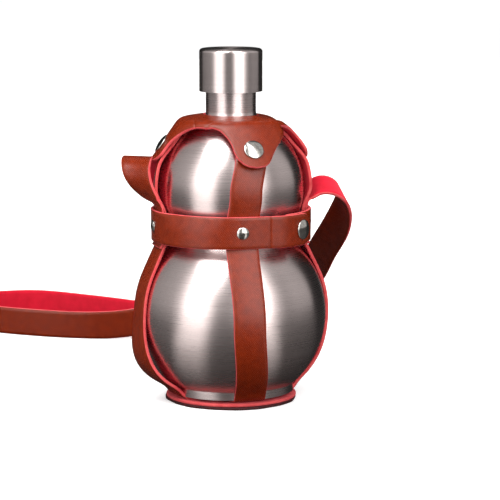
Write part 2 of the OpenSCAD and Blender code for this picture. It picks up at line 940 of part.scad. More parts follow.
module tab_right() {
    tab(RIGHT);
}

module tab_right_cap() {
    tab_cap(RIGHT);
}

module tab_right_socket() {
    tab_socket(RIGHT);
}

module tab_back() {
    tab(BACK);
}

module tab_back_cap() {
    tab_cap(BACK);
}

module tab_back_socket() {
    tab_socket(BACK);
}

module tab_left() {
    tab(LEFT);
}

module tab_left_cap() {
    tab_cap(LEFT);
}

module tab_left_socket() {
    tab_socket(LEFT);
}

module belt_flap_cap() {
    color(bright)
        flap_frame()
            snap_cap();
}

module belt_flap_socket() {
    color(bright)
        flap_frame()
            snap_socket();
}

// CAP

// The disc that carries the sealing ring, over the whole mouth
module cap_liner() {
    color("white")
        rotate_extrude()
            square_from(0, liner_z, thread_root_r, liner_z + liner_t);
}

module cap_gasket() {
    color("white")
        rotate_extrude()
            square_from(mouth_r, rim_z, thread_root_r, liner_z);
}

// The steel cup of the cap, with a rounded top edge
module cap_shell() {
    color(steel)
        rotate_extrude()
            difference() {
                cap_outline(cap_r, cap_low_z, cap_top_z, cap_edge_r);
                cap_outline(insert_out_r, cap_low_z - overrun, insert_top_z, cap_edge_r - steel_t);
            }
}

// A rectangle from the axis with a rounded top outer corner
module cap_outline(r, low, top, edge_r) {
    square_from(0, low, r - edge_r, top);
    square_from(0, low, r, top - edge_r);
    translate([r - edge_r, top - edge_r])
        circle(edge_r);
}

// The plastic insert that fills the cup and screws onto the neck
module cap_insert() {
    color("black")
        rotate_extrude()
            difference() {
                cap_outline(insert_out_r, cap_low_z + steel_t, insert_top_z, cap_edge_r - steel_t);
                square_from(-overrun, cap_low_z, insert_in_r, insert_under_z);
            }
}

lower_bulb();
upper_bulb();
neck_ring();
base_plate();
base_sole();
base_pad();
base_rivets();
strap_front();
strap_right();
strap_back();
strap_left();
belt();
belt_rivets();
snap_studs();
collar_ring();
shoulder_strap();
cap_liner();
cap_gasket();
cap_shell();
cap_insert();
tab_front();
tab_front_cap();
tab_front_socket();
tab_right();
tab_right_cap();
tab_right_socket();
tab_back();
tab_back_cap();
tab_back_socket();
tab_left();
tab_left_cap();
tab_left_socket();
belt_flap();
belt_flap_cap();
belt_flap_socket();
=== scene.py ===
import math

import bpy
import numpy as np
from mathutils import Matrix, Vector


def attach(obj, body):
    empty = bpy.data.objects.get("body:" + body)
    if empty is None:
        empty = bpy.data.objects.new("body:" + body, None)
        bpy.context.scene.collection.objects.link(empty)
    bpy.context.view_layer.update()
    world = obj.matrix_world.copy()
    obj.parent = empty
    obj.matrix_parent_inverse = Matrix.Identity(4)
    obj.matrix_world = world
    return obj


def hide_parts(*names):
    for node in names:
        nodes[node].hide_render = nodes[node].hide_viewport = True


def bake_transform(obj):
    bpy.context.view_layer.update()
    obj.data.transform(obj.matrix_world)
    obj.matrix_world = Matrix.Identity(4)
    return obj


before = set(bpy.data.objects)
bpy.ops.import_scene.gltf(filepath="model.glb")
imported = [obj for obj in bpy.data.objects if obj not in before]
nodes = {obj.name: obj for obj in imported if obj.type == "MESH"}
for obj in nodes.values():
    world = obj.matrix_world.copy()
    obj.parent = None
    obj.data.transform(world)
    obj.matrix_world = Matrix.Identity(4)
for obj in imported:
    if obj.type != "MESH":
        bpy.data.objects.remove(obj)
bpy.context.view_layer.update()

MM = 0.001

# SIZES OF THE FLASK AND ITS HARNESS
# They are those of the solids, except where the leather hangs, stands off or swells.

LOWER_R = 62.0
LOWER_Z = 57.5
UPPER_R = 47.5
UPPER_Z = 140.0
FOOT_R = 40.8
NECK_R = 16.3
NECK_FILLET = 7.0
RIM_Z = 223.87

LEATHER_T = 2.0
LEATHER_GAP = 0.3
FIT_GAP = 0.1
SNAP_GAP = 1.7
# The flask stands on a sole, a pad and the tails of the straps. The sole's dark leather is painted shade,
# standing in for the shadow and reflection under the base
SOLE_T = 2.0
PAD_T = 2.0
FOOT_Z = SOLE_T + PAD_T + LEATHER_T
BASE_R = FOOT_R + 1.9
SOLE_R = BASE_R + 0.2

# Share of its width that a rounded end of leather reaches past its snap
ROUND_END_SHARE = 0.52
LOBE_ANGLES = {"front": 18.5, "right": 109.0, "back": -163.0, "left": -83.5}
LOBE_ORDER = ["front", "right", "back", "left"]
LOBE_W = 25.0
LOBE_SLOPE = 55.6
LOBE_TURN = math.radians(LOBE_SLOPE)
LOBE_OUT = UPPER_R + LEATHER_GAP + LEATHER_T + SNAP_GAP + LEATHER_T
LOBE_BEND_R = 5.0
LOBE_HINGE_R = 31.5
# Places either side of a lobe's hinge: (distance from the axis, height)
LOBE_BEND_FROM = (LOBE_HINGE_R - 3.0, 184.0)
LOBE_BEND_TO = (LOBE_HINGE_R + 3.5, 182.0)
LOBE_SEAM_R = 25.5
RING_SLOPE = 8.8
RING_OUT = UPPER_R + 0.325 * NECK_FILLET
ARCH_REACH = 35.4
ARCH_FILLET = 10.0
TIP_R = ROUND_END_SHARE * LOBE_W
TIP_RISE = 0.09 * LOBE_W
COLLAR_HOLE_R = NECK_R + 0.8 * LEATHER_T

SNAP_DROP = 2.0
SNAP_R = LOBE_OUT * math.sin(LOBE_TURN) + SNAP_DROP * math.cos(LOBE_TURN)
SNAP_Z = UPPER_Z + LOBE_OUT * math.cos(LOBE_TURN) - SNAP_DROP * math.sin(LOBE_TURN)
SNAP_CAP_R = 6.5
SNAP_CAP_H = 2.0
RIVET_R = 4.0
RIVET_H = 1.6

STRAP_W = 20.0
STRAP_TAIL_R = 20.0
STRAP_TOP_Z = UPPER_Z + (UPPER_R + LEATHER_GAP) * math.cos(LOBE_TURN) + STRAP_W / 8
STRAP_TIP_LENGTH = 13.0
STRAP_ANGLES = {"front": 11.0, "right": 103.0, "back": -166.0, "left": -74.0}
# Sideways drift of the straps at the foot, lower bulb, belt, upper bulb and snap
STRAP_DRIFTS = {
    "front": (4.4, 0.0, -2.0, 0.4, 5.6),
    "right": (0.0, 3.0, 0.0, 0.0, 4.4),
    "back": (0.0, 0.0, 0.0, 0.0, 2.2),
    "left": (8.0, 4.0, 0.0, -5.6, -7.2),
}
# How far each strap hangs away from the flask above the foot
STRAP_SLACK = {"front": 0.4, "right": 1.2, "back": 1.2, "left": 5.0}
# How much more than its middle a strap's side hangs out, as a share of that slack
STRAP_TWIST = {"front": 0.0, "right": 0.0, "back": 0.0, "left": -0.3}
# Which side of a strap stands off the upper bulb, and how far
STRAP_FLARE = {"front": (1, 0.0), "right": (-1, 3.2), "back": (1, 0.0), "left": (1, 3.0)}
FLARE_FADE_LOW = 14.0
FLARE_FADE_HIGH = 16.0
# Its sides lift in soft waves of this height, one radian of wave in this length
STRAP_RIPPLE = 0.22
RIPPLE_LENGTH = 17.0

WAIST_R = 46.0
BELT_Z = 116.0
# The belt is two half circles round the flask, moved apart by the shoulder strap under it
BELT_R = WAIST_R + LEATHER_T + FIT_GAP
BELT_SPREAD = LEATHER_T + 2 * FIT_GAP
BELT_LONG_ANGLE = 104.5
BELT_TIP_ANGLE = 45.0
BELT_STEPS = 174
BELT_RIPPLE = 0.12
BELT_RIPPLE_LENGTH = 23.0
# The belt's upper edge leans in towards the bulb between two angles, and gently at both
BELT_LEAN = 1.7
BELT_LEAN_FROM = -60.0
BELT_LEAN_RISE = 18.0
BELT_LEAN_TO = -3.0
BELT_LEAN_FALL = 12.0
# The belt climbs over its other end from the climb angle to the step angle. The flap is its
# part past the root, with its hinge at the hinge angle
FLAP_CLIMB_ANGLE = 20.0
FLAP_ROOT_ANGLE = 30.0
FLAP_HINGE_ANGLE = 38.0
FLAP_STEP_ANGLE = 46.0
FLAP_SNAP_ANGLE = 55.0
FLAP_LIFT = LEATHER_T + SNAP_GAP
# Places either side of its hinge: (compass angle, distance from the axis)
FLAP_BEND_FROM = (FLAP_HINGE_ANGLE - 3.0, 50.0)
FLAP_BEND_TO = (FLAP_HINGE_ANGLE + 3.5, 51.5)

THREAD_PITCH = 3.5
NECK_ROOT_R = NECK_R - 0.9
NECK_CREST_R = NECK_R - 0.2
NECK_THREAD = (207.27, RIM_Z - 2.5)
CAP_ROOT_R = NECK_R + 0.3
CAP_CREST_R = NECK_R
CAP_THREAD = (205.5, 220.0)

# Where the collar stands up or sags beside the right lobe: place in plan, spread and height
COLLAR_SWELLS = [((45.0, -4.0), 9.0, 5.6), ((33.0, 5.0), 14.0, -3.6)]
# The front lobe is cut by hand, so its two free edges differ: (distance from the axis, half width)
FRONT_LOBE_EDGES = {
    "left": [
        (25.5, 24.9), (28.0, 21.4), (31.6, 17.8), (34.7, 15.6), (37.4, 13.9), (40.5, 12.6),
        (43.5, 12.1), (45.3, 11.4), (46.9, 10.5), (49.2, 7.9), (50.7, 4.8), (51.36, 0.5),
    ],
    "right": [
        (25.5, 24.6), (28.0, 25.6), (31.0, 24.6), (36.1, 20.9), (40.3, 16.9), (43.2, 14.4),
        (45.2, 12.6), (47.2, 11.0), (49.0, 9.1), (50.3, 6.9), (51.0, 4.4), (51.36, 0.5),
    ],
}

# The shoulder strap: its ends lie between a strap and the belt, and its middle lies on the floor
END_R = (WAIST_R + LEATHER_T + BELT_R + BELT_SPREAD) / 2
FLOOR_GAP = 0.45
# Height and lean out of the points of each end
END_HEIGHTS = [(103.0, 1.65), (106.0, 0.0), (116.0, 0.0), (126.0, 0.0)]
FREE_ROUTE = [
    (-48, -14, 130), (-52, -15, 134), (-56, -16, 140), (-59, -16, 146), (-61, -13, 153),
    (-61, -8, 157), (-61, 0, 159), (-59, 9, 158), (-54, 19, 155), (-49, 31, 148),
    (-43, 45, 136), (-36, 62, 120), (-28, 88, 92), (-19, 114, 64), (-11, 142, 38),
    (-9, 172, 20), (-20, 204, 11), (-45, 237, 10), (-77, 265, 10), (-112, 290, 10),
    (-152, 311, 10), (-190, 300, 10), (-205, 270, 10), (-182, 242, 10), (-143, 222, 10),
    (-107, 212, 10), (-75, 211, 12), (-47, 211, 19), (-18, 205, 31), (8, 184, 39),
    (28, 152, 45), (44, 118, 54), (55, 86, 70), (62, 62, 89), (70, 40, 107),
    (74, 28, 120), (75, 21, 129), (72, 17, 135), (66, 14, 139), (60, 13, 140),
    (55, 12, 138), (52, 12, 135), (49, 12, 131),
]
FREE_WIDTH = [
    (-30, 95, 0), (-35, 90, -15), (-50, 80, -20), (-75, 60, -20), (-87, 50, -10),
    (-92, 40, 0), (-94, 35, 0), (-94, 35, 0), (-94, 34, 0), (-95, 30, 0),
    (-96, 25, 0), (-97, 20, 0), (-95, 10, 10), (-90, 0, 30), (-80, 0, 60),
    (-50, 0, 90), (-10, 0, 100), (0, 0, 100), (0, 0, 100), (0, 0, 100),
    (0, 0, 100), (0, 0, 100), (0, 0, 100), (0, 0, 100), (0, 0, 100),
    (0, 0, 100), (-10, 0, 100), (-30, 0, 95), (-50, 0, 90), (-60, 0, 80),
    (-70, 10, 70), (-80, 20, 60), (-83, 21, 52), (-84, 22, 50), (-78, 42, 46),
    (-58, 63, 51), (-30, 85, 42), (-10, 92, 37), (-8, 88, 46), (-18, 81, 55),
    (-30, 74, 60), (-25, 88, 35), (-22, 96, 12),
]


# SMALL SUMS

def unit(v):
    """v, or each row of v, with length 1."""
    v = np.asarray(v, float)
    return v / np.maximum(np.linalg.norm(v, axis=-1, keepdims=True), 1e-9)


def compass(angle, r, z):
    """The point at a compass angle, a distance from the axis and a height."""
    a = np.radians(angle)
    return np.stack(np.broadcast_arrays(r * np.sin(a), -r * np.cos(a), z), axis=-1)


def smooth(t):
    """Goes gently from 0 to 1 as t goes from 0 to 1."""
    t = np.clip(t, 0, 1)
    return t * t * (3 - 2 * t)


def lengths_along(points):
    return np.concatenate([[0], np.cumsum(np.linalg.norm(np.diff(points, axis=0), axis=1))])


def points_at(at, along, points):
    """Points of a polyline at lengths along it."""
    return np.stack([np.interp(at, along, column) for column in np.transpose(points)], axis=1)


def resampled(points, step):
    """A polyline through the same places, with even steps."""
    points = np.asarray(points, float)
    along = lengths_along(points)
    count = max(2, int(round(along[-1] / step)) + 1)
    return points_at(np.linspace(0, along[-1], count), along, points)


def softened(points, passes):
    """A polyline with its corners eased and its ends kept."""
    points = np.array(points, float)
    for _ in range(passes):
        points[1:-1] = (points[:-2] + 2 * points[1:-1] + points[2:]) / 4
    return points


def turned_about_z(points, angle):
    a = math.radians(angle)
    turn = np.array([[math.cos(a), -math.sin(a), 0], [math.sin(a), math.cos(a), 0], [0, 0, 1]])
    return points @ turn.T


# MESHES

def new_object(name, data):
    thing = bpy.data.objects.new(name, data)
    bpy.context.scene.collection.objects.link(thing)
    return thing


def new_mesh(name, points, faces, face_slots=None, uv=None):
    """A mesh object from points in millimetres, with a UV map of one unit per 100 mm."""
    mesh = bpy.data.meshes.new(name)
    mesh.from_pydata([tuple(p) for p in np.asarray(points) * MM], [], [tuple(f) for f in faces])
    if face_slots is not None:
        mesh.polygons.foreach_set("material_index", face_slots)
    if uv is not None:
        layer = mesh.uv_layers.new(name="hide_mm")
        corner = np.zeros(len(mesh.loops), int)
        mesh.loops.foreach_get("vertex_index", corner)
        layer.data.foreach_set("uv", (np.asarray(uv)[corner] / 100).ravel())
    mesh.polygons.foreach_set("use_smooth", [True] * len(mesh.polygons))
    mesh.update()
    return new_object(name, mesh)


# Steps round the cut edge of a hide: (share of half its thickness, bulge)
EDGE_STEPS = [(0.72, 0.22), (0.0, 0.34), (-0.72, 0.22)]
COAT, LINING, CUT_EDGE = 0, 1, 2


def winds_inward(middle, outward):
    """Whether the rows and columns of a grid turn against its outward side."""
    row, column = middle.shape[0] // 2, middle.shape[1] // 2
    across = middle[row, (column + 1) % middle.shape[1]] - middle[row, column]
    along = middle[min(row + 1, middle.shape[0] - 1), column] - middle[max(row - 1, 0), column]
    return np.dot(np.cross(along, across), outward[row, column]) < 0


def side_faces(index, closed, turned):
    """Quads of a sheet's coated side and of its lining, and their slots."""
    rows, columns = index.shape
    faces, slots = [], []
    for i in range(rows - 1):
        for j in range(columns if closed else columns - 1):
            k = (j + 1) % columns
            quad = [index[i, j], index[i + 1, j], index[i + 1, k], index[i, k]]
            if turned:
                quad = quad[::-1]
            faces += [quad, [corner + index.size for corner in quad[::-1]]]
            slots += [COAT, LINING]
    return faces, slots


def border_loops(index, closed):
    """The borders of a sheet's grid, each as its points in order."""
    if closed:
        return [index[0, :], index[-1, ::-1]]
    return [np.concatenate([index[0, :], index[1:, -1], index[-1, -2::-1], index[-2:0:-1, 0]])]


def leather_sheet(name, middle, outward, uv, closed=False, seam=None):
    """A sheet of leather about a grid of middle points, with outward as the coated side.

    closed joins the last column to the first. seam says of a row and column whether they lie
    on a seam, where the border gets no cut edge.
    """
    shape = middle.shape[:2]
    outward = unit(outward)
    turned = winds_inward(middle, outward)
    base, half = middle.reshape(-1, 3), outward.reshape(-1, 3) * LEATHER_T / 2
    uv = np.asarray(uv, float).reshape(-1, 2)
    index = np.arange(len(base)).reshape(shape)
    points, uvs = [base + half, base - half], [uv, uv]
    faces, slots = side_faces(index, closed, turned)
    total = 2 * len(base)
    for loop in border_loops(index, closed):
        ring = base[loop]
        way = np.roll(ring, -1, axis=0) - np.roll(ring, 1, axis=0)
        out = unit(np.cross(way, half[loop])) * (1 if turned else -1)
        strips = [loop]
        for share, bulge in EDGE_STEPS:
            points.append(ring + half[loop] * share + out * bulge)
            uvs.append(uv[loop] + [0, 0.3 * (1 - share)])
            strips.append(np.arange(total, total + len(loop)))
            total += len(loop)
        strips.append(loop + len(base))
        on_seam = [seam is not None and seam(*np.unravel_index(k, shape)) for k in loop]
        for a in range(len(loop)):
            b = (a + 1) % len(loop)
            for low, high in zip(strips[:-1], strips[1:]):
                quad = [low[a], low[b], high[b], high[a]]
                faces.append(quad[::-1] if turned else quad)
                slots.append(LINING if on_seam[a] and on_seam[b] else CUT_EDGE)
    piece = new_mesh(name, np.concatenate(points), faces, slots, np.concatenate(uvs))
    for material in (coated_leather, lining_suede, cut_edge):
        piece.data.materials.append(material)
    return piece


def lathe(name, profile, steps=96, wave=None):
    """A turned piece about the vertical axis from (radius, height) points.

    wave gives the share of its radius that a point has at an angle.
    """
    angles = np.linspace(0, 2 * math.pi, steps, endpoint=False)
    points, uv = [], []
    along = lengths_along(np.asarray(profile, float))
    for (r, z), s in zip(profile, along):
        for a in angles:
            reach = r * wave(a) if wave else r
            points.append((reach * math.sin(a), -reach * math.cos(a), z))
            uv.append((r * math.sin(a) + s * 0.2, -r * math.cos(a)))
    faces = []
    for i in range(len(profile) - 1):
        for j in range(steps):
            k = (j + 1) % steps
            faces.append([i * steps + j, i * steps + k, (i + 1) * steps + k, (i + 1) * steps + j])
    return new_mesh(name, points, faces, None, uv)


# MATERIALS

def linear_light(level):
    """A level as it shows on screen, from 0 to 255, as linear light."""
    level = level / 255
    return level / 12.92 if level <= 0.04045 else ((level + 0.055) / 1.055) ** 2.4


def colour(red, green, blue):
    """A colour given as it shows on screen."""
    return (linear_light(red), linear_light(green), linear_light(blue), 1.0)


def feed(tree, socket, value):
    """Links another socket's value into a socket, or sets a plain one."""
    if isinstance(value, bpy.types.NodeSocket):
        tree.links.new(value, socket)
    else:
        socket.default_value = value


class Group:
    """A shader node group with named inputs and outputs."""

    def __init__(self, name, inputs, outputs):
        self.tree = bpy.data.node_groups.new(name, "ShaderNodeTree")
        for label, kind, value in inputs:
            socket = self.tree.interface.new_socket(label, in_out="INPUT", socket_type="NodeSocket" + kind)
            if value is not None:
                socket.default_value = value
        for label, kind in outputs:
            self.tree.interface.new_socket(label, in_out="OUTPUT", socket_type="NodeSocket" + kind)
        self.entry = self.tree.nodes.new("NodeGroupInput")
        self.exit = self.tree.nodes.new("NodeGroupOutput")

    def node(self, kind, **settings):
        return add_node(self.tree, kind, **settings)

    def math(self, operation, a, b=0.0):
        return add_math(self.tree, operation, a, b)

    def link(self, a, b):
        self.tree.links.new(a, b)


def add_node(tree, kind, **settings):
    """A node, with its own settings and its inputs set or linked by name."""
    node = tree.nodes.new("ShaderNode" + kind)
    for name, value in settings.items():
        if hasattr(node, name) and name not in node.inputs:
            setattr(node, name, value)
            continue
        label = name if name in node.inputs else name.replace("_", " ")
        feed(tree, node.inputs[label], value)
    return node


def add_math(tree, operation, a, b=0.0):
    node = tree.nodes.new("ShaderNodeMath")
    node.operation = operation
    feed(tree, node.inputs[0], a)
    feed(tree, node.inputs[1], b)
    return node.outputs[0]


def add_mix(tree, share, first, second):
    """A colour that goes from the first to the second one as share goes from 0 to 1."""
    node = add_node(tree, "Mix", data_type="RGBA")
    feed(tree, node.inputs["Factor"], share)
    feed(tree, node.inputs[6], first)
    feed(tree, node.inputs[7], second)
    return node.outputs[2]


def weighted(tree, a, share_a, b, share_b):
    """Two values added up, each times its share."""
    first, second = add_math(tree, "MULTIPLY", a, share_a), add_math(tree, "MULTIPLY", b, share_b)
    return add_math(tree, "ADD", first, second)


def ramp(tree, value, stops):
    """A colour ramp through (place, colour) stops."""
    node = tree.nodes.new("ShaderNodeValToRGB")
    elements = node.color_ramp.elements
    while len(elements) < len(stops):
        elements.new(0.5)
    for element, (place, tint) in zip(elements, stops):
        element.position = place
        element.color = tint
    tree.links.new(value, node.inputs["Fac"])
    return node.outputs["Color"]


def make_cross_grain():
    """Pressed grain: two sets of fine slanting furrows, broken up by soft blotches."""
    group = Group(
        "Cross grain",
        [("Vector", "Vector", None), ("Furrows", "Float", 90.0)],
        [("Height", "Float"), ("Blotch", "Float")],
    )
    vector = group.entry.outputs["Vector"]
    sets = []
    for turn in (34, -38):
        mapping = group.node("Mapping", Vector=vector, Rotation=(0, 0, math.radians(turn)))
        wave = group.node("TexWave", Vector=mapping.outputs[0], Distortion=5.0, Detail=2.0)
        wave.inputs["Detail Scale"].default_value = 1.6
        group.link(group.entry.outputs["Furrows"], wave.inputs["Scale"])
        sets.append(wave.outputs["Fac"])
    furrows = group.math("MULTIPLY", sets[0], sets[1])
    blotch = group.node("TexNoise", Vector=vector, Scale=22.0, Detail=3.0)
    fine = group.node("TexNoise", Vector=vector, Scale=420.0, Detail=2.0)
    height = weighted(group.tree, furrows, 0.75, fine.outputs["Fac"], 0.35)
    group.link(height, group.exit.inputs["Height"])
    group.link(blotch.outputs["Fac"], group.exit.inputs["Blotch"])
    return group.tree


def make_suede_nap():
    """Short nap: fine fibres over soft patches that lie different ways."""
    group = Group(
        "Suede nap",
        [("Vector", "Vector", None), ("Fineness", "Float", 600.0)],
        [("Height", "Float"), ("Patch", "Float")],
    )
    vector = group.entry.outputs["Vector"]
    fibres = group.node("TexNoise", Vector=vector, Detail=4.0, Roughness=0.7)
    group.link(group.entry.outputs["Fineness"], fibres.inputs["Scale"])
    patch = group.node("TexNoise", Vector=vector, Scale=14.0, Detail=3.0)
    group.link(fibres.outputs["Fac"], group.exit.inputs["Height"])
    group.link(patch.outputs["Fac"], group.exit.inputs["Patch"])
    return group.tree


def make_brushed_lines():
    """Fine lines round the axis, as a rotary brush leaves them."""
    group = Group(
        "Brushed lines",
        [("Vector", "Vector", None), ("Lines", "Float", 2600.0)],
        [("Height", "Float"), ("Streak", "Float")],
    )
    stretch = group.node("CombineXYZ", X=30.0, Y=30.0)
    group.link(group.entry.outputs["Lines"], stretch.inputs["Z"])
    scaled = group.node("VectorMath", operation="MULTIPLY")
    group.link(group.entry.outputs["Vector"], scaled.inputs[0])
    group.link(stretch.outputs[0], scaled.inputs[1])
    lines = group.node("TexNoise", Vector=scaled.outputs[0], Scale=1.0, Detail=3.0, Roughness=0.6)
    wide = group.node("VectorMath", operation="MULTIPLY")
    group.link(scaled.outputs[0], wide.inputs[0])
    wide.inputs[1].default_value = (0.5, 0.5, 0.06)
    streak = group.node("TexNoise", Vector=wide.outputs[0], Scale=1.0, Detail=2.0)
    group.link(lines.outputs["Fac"], group.exit.inputs["Height"])
    group.link(streak.outputs["Fac"], group.exit.inputs["Streak"])
    return group.tree


def make_compass():
    """The compass direction of a vector as a place from 0 to 1, with 0.5 at the front."""
    group = Group("Compass", [("Vector", "Vector", None)], [("Place", "Float")])
    split = group.node("SeparateXYZ", Vector=group.entry.outputs["Vector"])
    angle = group.math("ARCTAN2", split.outputs["X"], group.math("MULTIPLY", split.outputs["Y"], -1.0))
    group.link(group.math("ADD", group.math("DIVIDE", angle, 2 * math.pi), 0.5), group.exit.inputs["Place"])
    return group.tree


cross_grain = make_cross_grain()
suede_nap = make_suede_nap()
brushed_lines = make_brushed_lines()
compass_group = make_compass()


def new_material(name, **constants):
    """A material with a Principled BSDF whose constants are set on its own sockets."""
    material = bpy.data.materials.new(name)
    material.use_nodes = True
    shader = material.node_tree.nodes["Principled BSDF"]
    for label, value in constants.items():
        shader.inputs[label.replace("_", " ")].default_value = value
    return material, material.node_tree, shader


def coordinates(tree, kind):
    return tree.nodes.new("ShaderNodeTexCoord").outputs[kind]


def place_group(tree, group, kind, **values):
    node = tree.nodes.new("ShaderNodeGroup")
    node.node_tree = group
    tree.links.new(coordinates(tree, kind), node.inputs["Vector"])
    for label, value in values.items():
        node.inputs[label].default_value = value
    return node


def add_bump(tree, shader, height, strength, distance):
    bump = add_node(tree, "Bump", Strength=strength, Distance=distance, Height=height)
    tree.links.new(bump.outputs[0], shader.inputs["Normal"])


def add_shade(tree, shader, value, dark, light, low=0.3, high=0.7):
    """Base colour from dark to light as value goes from low to high."""
    tree.links.new(ramp(tree, value, [(low, dark), (high, light)]), shader.inputs["Base Color"])


def add_roughness(tree, shader, least, value, share):
    """Roughness that rises from its least one by a share of value."""
    rough = add_math(tree, "ADD", least, add_math(tree, "MULTIPLY", value, share))
    tree.links.new(rough, shader.inputs["Roughness"])


def make_coated_leather(name, deep, light, furrows, rough):
    material, tree, shader = new_material(name, Specular_IOR_Level=0.36)
    grain = place_group(tree, cross_grain, "UV", Furrows=furrows)
    height = grain.outputs["Height"]
    shade = weighted(tree, grain.outputs["Blotch"], 0.6, height, 0.45)
    add_shade(tree, shader, shade, deep, light, 0.25, 0.8)
    add_roughness(tree, shader, rough, height, 0.1)
    add_bump(tree, shader, height, 0.4, 0.0002)
    return material


def make_suede(name, deep, light):
    material, tree, shader = new_material(name, Roughness=0.9, Specular_IOR_Level=0.2)
    shader.inputs["Sheen Weight"].default_value = 0.35
    shader.inputs["Sheen Roughness"].default_value = 0.5
    shader.inputs["Sheen Tint"].default_value = colour(255, 120, 130)
    nap = place_group(tree, suede_nap, "UV", Fineness=520.0)
    shade = weighted(tree, nap.outputs["Patch"], 0.6, nap.outputs["Height"], 0.4)
    add_shade(tree, shader, shade, deep, light)
    add_bump(tree, shader, nap.outputs["Height"], 0.35, 0.0002)
    return material


def make_brushed_steel(name, dark, light, lines, rough):
    """Steel brushed round the axis, whose highlights stretch across the brushing."""
    material, tree, shader = new_material(name, Metallic=1.0, Anisotropic=0.8, Anisotropic_Rotation=0.25)
    brushing = place_group(tree, brushed_lines, "Object", Lines=lines)
    height = brushing.outputs["Height"]
    shade = weighted(tree, height, 0.6, brushing.outputs["Streak"], 0.4)
    add_shade(tree, shader, shade, dark, light)
    add_roughness(tree, shader, rough, height, 0.08)
    tangent = add_node(tree, "Tangent", direction_type="RADIAL", axis="Z")
    tree.links.new(tangent.outputs[0], shader.inputs["Tangent"])
    return material


def make_speckled(name, dark, light, scale, rough, rise, metallic=0.0, bump=0.0):
    """A finish with fine scuffs or grit, which also change its roughness."""
    material, tree, shader = new_material(name, Metallic=metallic)
    where = coordinates(tree, "Object")
    specks = add_node(tree, "TexNoise", Vector=where, Scale=scale, Detail=3.0).outputs["Fac"]
    add_shade(tree, shader, specks, dark, light)
    add_roughness(tree, shader, rough, specks, rise)
    if bump:
        add_bump(tree, shader, specks, bump, 0.0001)
    return material


FURROWS = 34.0
coated_leather = make_coated_leather("Coated leather", colour(100, 27, 5), colour(142, 44, 11), FURROWS, 0.22)
# The sole's dark colour is painted shade for the shadow and reflection under the base
sole_painted_shade = make_coated_leather("Sole painted shade", colour(40, 8, 10), colour(80, 18, 20), FURROWS, 0.6)
lining_suede = make_suede("Lining suede", colour(190, 14, 38), colour(214, 22, 49))
cut_edge = make_suede("Cut edge", colour(190, 52, 58), colour(226, 98, 98))
flask_greys = colour(200, 186, 184), colour(219, 205, 203)
brushed_steel = make_brushed_steel("Brushed steel", *flask_greys, 2600.0, 0.24)
cap_steel = make_brushed_steel("Cap steel", colour(204, 191, 189), colour(222, 209, 207), 3200.0, 0.20)
metal_greys = colour(176, 172, 167), colour(212, 208, 203)
polished_metal = make_speckled("Polished metal", *metal_greys, 900.0, 0.06, 0.16, metallic=1.0)
plastic_blacks = colour(16, 16, 17), colour(32, 32, 34)
black_plastic = make_speckled("Black plastic", *plastic_blacks, 1400.0, 0.4, 0.2, bump=0.15)
silicone_whites = colour(214, 213, 208), colour(238, 237, 233)
white_silicone = make_speckled("White silicone", *silicone_whites, 1400.0, 0.45, 0.2, bump=0.15)


def paint(node, material):
    """Gives a node of the solids a finish in place of its own."""
    data = nodes[node].data
    data.materials.clear()
    data.materials.append(material)


for node in ("lower_bulb", "upper_bulb", "neck_ring", "base_plate"):
    paint(node, brushed_steel)
paint("cap_shell", cap_steel)
paint("cap_insert", black_plastic)
paint("cap_liner", white_silicone)
paint("cap_gasket", white_silicone)
for node in ("base_rivets", "snap_studs", "belt_flap_socket"):
    paint(node, polished_metal)
for side in LOBE_ORDER:
    paint("tab_" + side + "_socket", polished_metal)


# UPRIGHT STRAPS

# Places across a strip of leather, as shares of half its width
ACROSS = np.linspace(-1, 1, 11)


def spread(column):
    """A value for each row of a strip, repeated across it."""
    return np.repeat(column[:, None], len(ACROSS), axis=1)


def touch(r, z, centre_z, radius, side):
    """Where a line from a point at (r, z) touches a circle about (0, centre_z)."""
    base = math.atan2(z - centre_z, r)
    span = math.acos(radius / math.hypot(r, z - centre_z))
    return base + side * span


def slack_share(share):
    """Share of its slack that a strap has, at a share of the way up the lower bulb."""
    return np.sin(math.pi * np.clip(share, 0, 1) ** 0.8) ** 2


def strap_line(slack):
    """The middle of a strap's thickness as (radius, height), from its tail to its top."""
    offset = LEATHER_GAP + LEATHER_T / 2
    low, high = LOWER_R + offset, UPPER_R + offset
    waist, tail_z = WAIST_R + LEATHER_T / 2, FOOT_Z - LEATHER_T / 2
    belt_low, belt_top = BELT_Z - STRAP_W / 2, BELT_Z + STRAP_W / 2
    foot_side = FOOT_R + offset
    start = -math.acos(foot_side / low)
    leave = touch(waist, belt_low, LOWER_Z, low, -1)
    meet = touch(waist, belt_top, UPPER_Z, high, 1)
    top = math.asin((STRAP_TOP_Z + STRAP_W / 2 - UPPER_Z) / high)
    line = [(STRAP_TAIL_R, tail_z), (foot_side - 1, tail_z)]
    line += [(low * math.cos(a), LOWER_Z + low * math.sin(a)) for a in np.linspace(start, leave, 60)]
    line += [(waist, belt_low), (waist, belt_top)]
    line += [(high * math.cos(a), UPPER_Z + high * math.sin(a)) for a in np.linspace(meet, top, 30)]
    line = softened(resampled(line, 2.0), 3)
    along = lengths_along(line)
    foot, bulge = np.interp([FOOT_Z + 2, LOWER_Z + 4], line[:, 1], along)
    way = unit(np.gradient(line, axis=0))
    out = np.stack([way[:, 1], -way[:, 0]], axis=1)
    line = line + out * (slack * slack_share((along - foot) / (bulge - foot)))[:, None]
    return softened(resampled(line, 2.0), 2)


def drift_at(side, z):
    """Sideways drift of a strap's middle at heights z."""
    heights = (FOOT_Z, LOWER_Z, BELT_Z, UPPER_Z, SNAP_Z)
    drifts = STRAP_DRIFTS[side]
    k = np.clip(np.searchsorted(heights, z) - 1, 0, 3)
    low, high = np.take(heights, k), np.take(heights, k + 1)
    share = smooth((z - low) / (high - low))
    return np.take(drifts, k) * (1 - share) + np.take(drifts, k + 1) * share


def round_end(shares):
    """Half width of a rounded end in shares of the full one, at shares of its length."""
    return np.sqrt(np.maximum(1 - np.clip(shares, 0, 1) ** 2, 0.0009))


